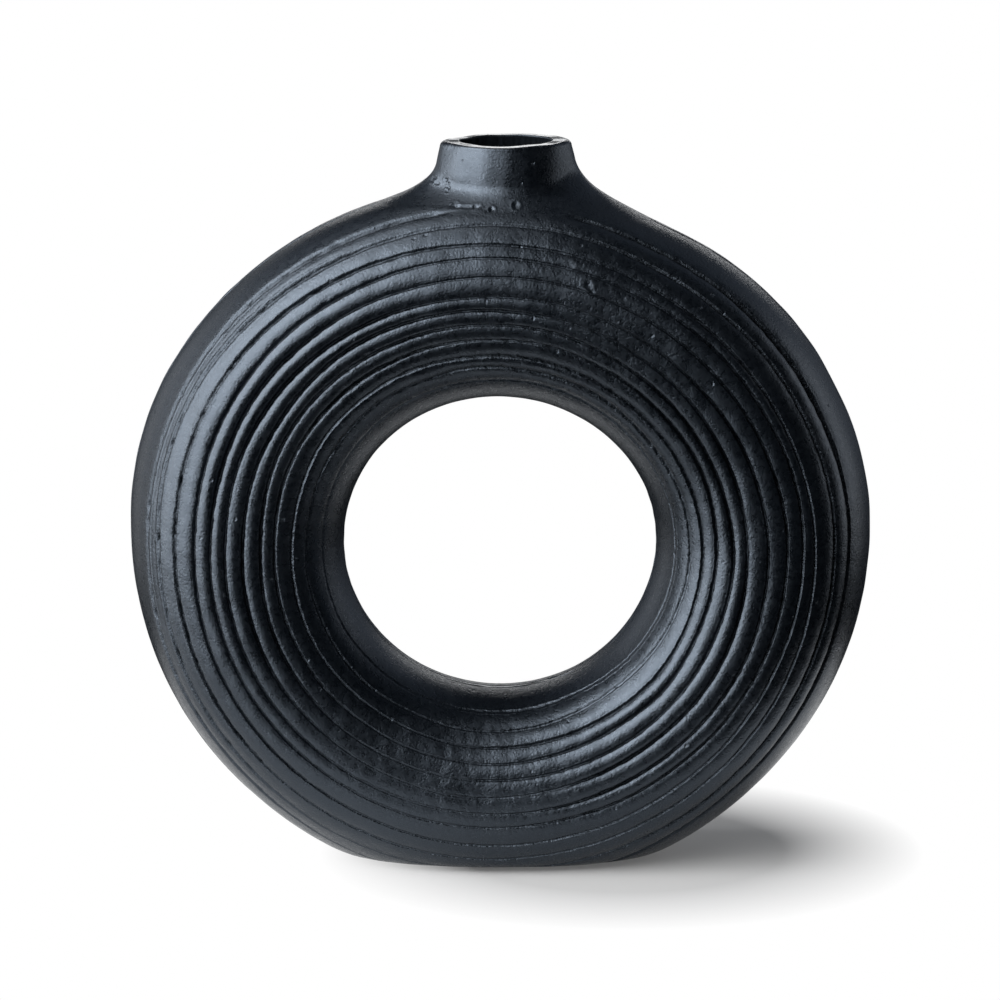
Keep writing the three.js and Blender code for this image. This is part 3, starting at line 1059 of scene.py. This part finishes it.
def satinCoat():
    material, tree, shader = newFinish("satin black coat")
    where = objectPlace(tree)
    cloudy = noise(tree, where, coat["cloudScale"], 4, 0.6)
    grain = noise(tree, where, coat["grainScale"], 3, 0.6)
    sandy = noise(tree, where, coat["sandScale"], 3, 0.6)
    patches = remap(tree, noise(tree, where, coat["patchScale"], 3, 0.6), 0.38, 0.62, 0.3, 1.0)
    patches = multiply(tree, patches, attribute(tree, "grit"))
    calm = remap(tree, attribute(tree, "lip"), 1.0, 1.5, 1.0, 0.1)  # the rim's top is rubbed smooth

    colour = blendColour(tree, remap(tree, cloudy, 0.35, 0.65, 0, 1), coat["dark"], coat["pale"])
    # painted shade: the grooves darken by the cut mark
    colour = blendColour(tree, attribute(tree, "cut"), colour, coat["grooveShade"])
    # lighter lips in patches: wear and a painted highlight
    wearAndSheen = multiply(tree, attribute(tree, "lip"), remap(tree, sandy, 0.45, 0.7, 0, 0.8))
    colour = blendColour(tree, wearAndSheen, colour, coat["lipWearAndSheen"])
    wire(tree, colour, shader.inputs["Base Color"])
    satin = remap(tree, sandy, 0.3, 0.7, coat["smoothest"], coat["roughest"])
    polish = multiply(tree, attribute(tree, "lip"), coat["polish"])  # lips are rubbed smoother
    inside = remap(tree, attribute(tree, "inside"), 0.0, 1.0, 0.0, coat["insideRough"])
    roughness = reckon(tree, "MAXIMUM", reckon(tree, "SUBTRACT", satin, polish), inside)
    wire(tree, roughness, shader.inputs["Roughness"])

    pits = tree.nodes.new("ShaderNodeTexVoronoi")
    pits.inputs["Scale"].default_value = coat["pitScale"]
    warp = noise(tree, where, coat["pitWarpScale"], 2, 0.5, "Color")
    ragged = reckonVector(tree, "MULTIPLY_ADD", warp, coat["pitWarp"])  # uneven pit outlines
    wire(tree, where, ragged.inputs[2])
    wire(tree, ragged.outputs[0], pits.inputs["Vector"])
    hollow = remap(tree, pits.outputs["Distance"], 0.06, 0.2, 1.0, 0.0)
    chance = tree.nodes.new("ShaderNodeSeparateColor")
    wire(tree, pits.outputs["Color"], chance.inputs["Color"])
    few = remap(tree, chance.outputs["Red"], 0.9, 0.93, 0.0, 1.0)
    crumbly = multiply(tree, noise(tree, where, coat["lipScale"], 4, 0.7), attribute(tree, "edge"))
    surface = bump(tree, multiply(tree, sandy, patches), *coat["sandBump"], None)
    surface = bump(tree, multiply(tree, grain, calm), *coat["grainBump"], surface)
    surface = bump(tree, crumbly, *coat["lipBump"], surface)
    pitted = bump(tree, multiply(tree, hollow, few), *coat["pitBump"], surface)
    pitted.node.invert = True
    wire(tree, pitted, shader.inputs["Normal"])
    shader.inputs["IOR"].default_value = coat["ior"]
    # painted shade: weaker reflection inside the mouth and in the grooves
    matter = remap(tree, attribute(tree, "inside"), 0.0, 1.0, coat["specular"], coat["insideSpecular"])
    matter = multiply(tree, matter, remap(tree, attribute(tree, "cut"), 0.4, 1.0, 1.0, coat["cutSpecular"]))
    wire(tree, matter, shader.inputs["Specular IOR Level"])
    shader.inputs["Specular Tint"].default_value = coat["tint"]
    return material


def footRubber():
    material, tree, shader = newFinish("foot rubber")
    speck = noise(tree, objectPlace(tree), rubber["speckScale"], 3, 0.6)
    wire(tree, blendColour(tree, speck, rubber["dark"], rubber["pale"]), shader.inputs["Base Color"])
    wire(tree, remap(tree, speck, 0.3, 0.7, 0.75, 0.9), shader.inputs["Roughness"])
    wire(tree, bump(tree, speck, *rubber["bump"], None), shader.inputs["Normal"])
    return material


def finish(piece, material):
    piece.data.materials.clear()
    piece.data.materials.append(material)


blackCoat = satinCoat()
blackRubber = footRubber()

for shell in (frontShell, rearShell):
    casting = makeShell(shell)
    openForNeck(casting)
    finish(casting, blackCoat)
    standsFor(casting, shell["node"])
    print(shell["name"], len(casting.data.polygons), "faces")

collar = makeCollar()
finish(collar, blackCoat)
standsFor(collar, "neck_collar")
weld = makeBlend()
finish(weld, blackCoat)
standsFor(weld, "neck_weld")
print("neck and its blend done")

for seam in (outerSeam, innerSeam):
    bead = makeSeam(seam)
    finish(bead, blackCoat)
    standsFor(bead, seam["node"])
print("seams done")

for depthName, depthSide in (("front", -1), ("rear", 1)):
    for sideName, side in (("left", -1), ("right", 1)):
        name = depthName + "_" + sideName
        dot = makeFoot("foot_dot_" + name, side * foot["spacingX"] / 2, depthSide * foot["spacingY"] / 2)
        finish(dot, blackRubber)
        standsFor(dot, "foot_" + name)
print("feet done")

# Studio, in metres: pale floor, white surround, one big soft light at the left and weak ones round it
studio = {
    "aim": (0, 0, 0.15),
    "keyAngles": (45, 80),  # two panels side by side, in degrees left of the camera
    "keyDistance": 1.55,
    "keyHeight": 0.68,
    "keyWidths": (1.13, 0.84),
    "keyTall": 2.3,
    "keyPowers": (47, 35),
    "others": (  # name, place, size, watts
        ("top", (-0.6, -0.25, 1.5), (1.2, 1.2), 9.0),
        ("over", (-0.6, -1.35, 0.95), (1.3, 1.0), 9.0),  # from over the camera
        ("fill", (1.45, 0.35, 0.35), (1.0, 1.2), 3.0),
        ("rim", (0.25, 2.6, 0.7), (1.6, 0.35), 2.2),
        ("back", (-1.23, 0.86, 0.3), (1.1, 1.3), 2.3),
    ),
    "room": 0.015,  # the dim room in front of the set
    "walls": 0.2,  # its walls at the sides and behind
    "roomColour": (0.84, 0.96, 1.16, 1),  # cool
    "tableMiddle": (-0.1, 0, 0),
    "tableTurn": 10,
    "table": (0.4, 0.17, 1),  # half length and half depth of the pale table top
    "tableColour": (0.44, 0.44, 0.44, 1),
    "tableRough": 0.9,
    "shadowMiddle": (0.05, 0.005, 0),  # the table keeps its shadow round here and runs out into white
    "shadowShape": (1.05, 1, 1),
    "shadowFade": (0.07, 0.13),
}


def softLight(name, place, aim, size, power):
    light = bpy.data.lights.new(name, "AREA")
    light.shape = "RECTANGLE"
    light.size, light.size_y = size
    light.energy = power
    lamp = bpy.data.objects.new(name, light)
    scene.collection.objects.link(lamp)
    lamp.location = place
    right, back, up = np.array(aim) - np.array(place)
    tip = math.atan2(math.hypot(right, back), -up)
    lamp.rotation_euler = (tip, 0, math.atan2(right, -back) + math.pi)


def whiteForViewers(tree):  # camera, glossy and transmission rays
    path = tree.nodes.new("ShaderNodeLightPath")
    either = reckon(tree, "MAXIMUM", path.outputs["Is Camera Ray"], path.outputs["Is Glossy Ray"])
    return reckon(tree, "MAXIMUM", either, path.outputs["Is Transmission Ray"])


clearSelection()
bpy.ops.mesh.primitive_circle_add(vertices=128, radius=1, fill_type="NGON", location=studio["tableMiddle"])
bpy.ops.transform.resize(value=studio["table"])
bpy.context.object.rotation_euler.z = math.radians(studio["tableTurn"])
bpy.ops.object.transform_apply(location=True, rotation=True, scale=True)
floor = bpy.context.object
floor.name = "studio_floor"
paper, tree, matte = newFinish("pale paper")
matte.inputs["Base Color"].default_value = studio["tableColour"]
matte.inputs["Roughness"].default_value = studio["tableRough"]
glow = tree.nodes.new("ShaderNodeEmission")
glow.inputs["Color"].default_value = (1, 1, 1, 1)
toShadow = reckonVector(tree, "SUBTRACT", objectPlace(tree), studio["shadowMiddle"])
inShadow = reckonVector(tree, "MULTIPLY", toShadow.outputs[0], studio["shadowShape"])
fromMiddle = tree.nodes.new("ShaderNodeVectorMath")
fromMiddle.operation = "LENGTH"
wire(tree, inShadow.outputs[0], fromMiddle.inputs[0])
paler = remap(tree, fromMiddle.outputs["Value"], *studio["shadowFade"], 0.1, 1.0)
mixShaders(tree, multiply(tree, whiteForViewers(tree), paler), matte, glow, "Material Output")
finish(floor, paper)

world = scene.world or bpy.data.worlds.new("studio")
scene.world = world
world.use_nodes = True
tree = world.node_tree
room = tree.nodes["Background"]
around = tree.nodes.new("ShaderNodeSeparateXYZ")
wire(tree, tree.nodes.new("ShaderNodeTexCoord").outputs["Generated"], around.inputs[0])
sideways = tree.nodes.new("ShaderNodeMath")
sideways.operation = "ABSOLUTE"
wire(tree, around.outputs["X"], sideways.inputs[0])
walls = remap(tree, around.outputs["Y"], -0.1, 0.35, 0.0, studio["walls"] - studio["room"])
walls = multiply(tree, walls, remap(tree, around.outputs["Z"], -0.25, 0.05, 0.0, 1.0))
walls = multiply(tree, walls, remap(tree, sideways.outputs[0], 0.2, 0.55, 0.1, 1.0))  # dark straight behind
wire(tree, reckon(tree, "ADD", walls, studio["room"]), room.inputs["Strength"])
room.inputs["Color"].default_value = studio["roomColour"]
backdrop = remap(tree, around.outputs["Y"], 0.3, 0.6, 0.0, 1.0)  # the white sweep behind the vase
backdrop = multiply(tree, backdrop, remap(tree, sideways.outputs[0], 0.15, 0.35, 1.0, 0.0))
backdrop = multiply(tree, backdrop, remap(tree, around.outputs["Z"], 0.05, 0.15, 0.0, 1.0))
backdrop = multiply(tree, backdrop, remap(tree, around.outputs["Z"], 0.2, 0.3, 1.0, 0.0))
white = tree.nodes.new("ShaderNodeBackground")
white.inputs["Strength"].default_value = 1.0
white.inputs["Color"].default_value = (1, 1, 1, 1)
path = tree.nodes.new("ShaderNodeLightPath")
mirrored = reckon(tree, "MAXIMUM", path.outputs["Is Glossy Ray"], path.outputs["Is Transmission Ray"])
shown = reckon(tree, "MAXIMUM", path.outputs["Is Camera Ray"], multiply(tree, mirrored, backdrop))
mixShaders(tree, shown, room, white, "World Output")

panels = zip(("key", "side"), studio["keyAngles"], studio["keyWidths"], studio["keyPowers"])
for name, angle, width, power in panels:
    left = math.radians(angle)
    away = studio["keyDistance"]
    place = (-away * math.sin(left), -away * math.cos(left), studio["keyHeight"])
    softLight(name, place, studio["aim"], (width, studio["keyTall"]), power)
for name, place, size, power in studio["others"]:
    softLight(name, place, studio["aim"], size, power)

# Camera
view = {
    "elevation": 11.113,
    "distance": 2.8443,
    "aim": (0.0001, 0.1475),  # across and up
    "lens": 252.2,
    "sensor": 36,
    "far": 50,
}
camera = bpy.data.objects.new("camera", bpy.data.cameras.new("camera"))
scene.collection.objects.link(camera)
camera.data.lens = view["lens"]
camera.data.sensor_width = view["sensor"]
up = math.radians(view["elevation"])
aimX, aimZ = view["aim"]
camera.location = (aimX, -view["distance"] * math.cos(up), aimZ + view["distance"] * math.sin(up))
camera.rotation_euler = (math.pi / 2 - up, 0, 0)
camera.data.clip_end = view["far"]
scene.camera = camera
scene.view_settings.view_transform = "Standard"
print("studio ready")
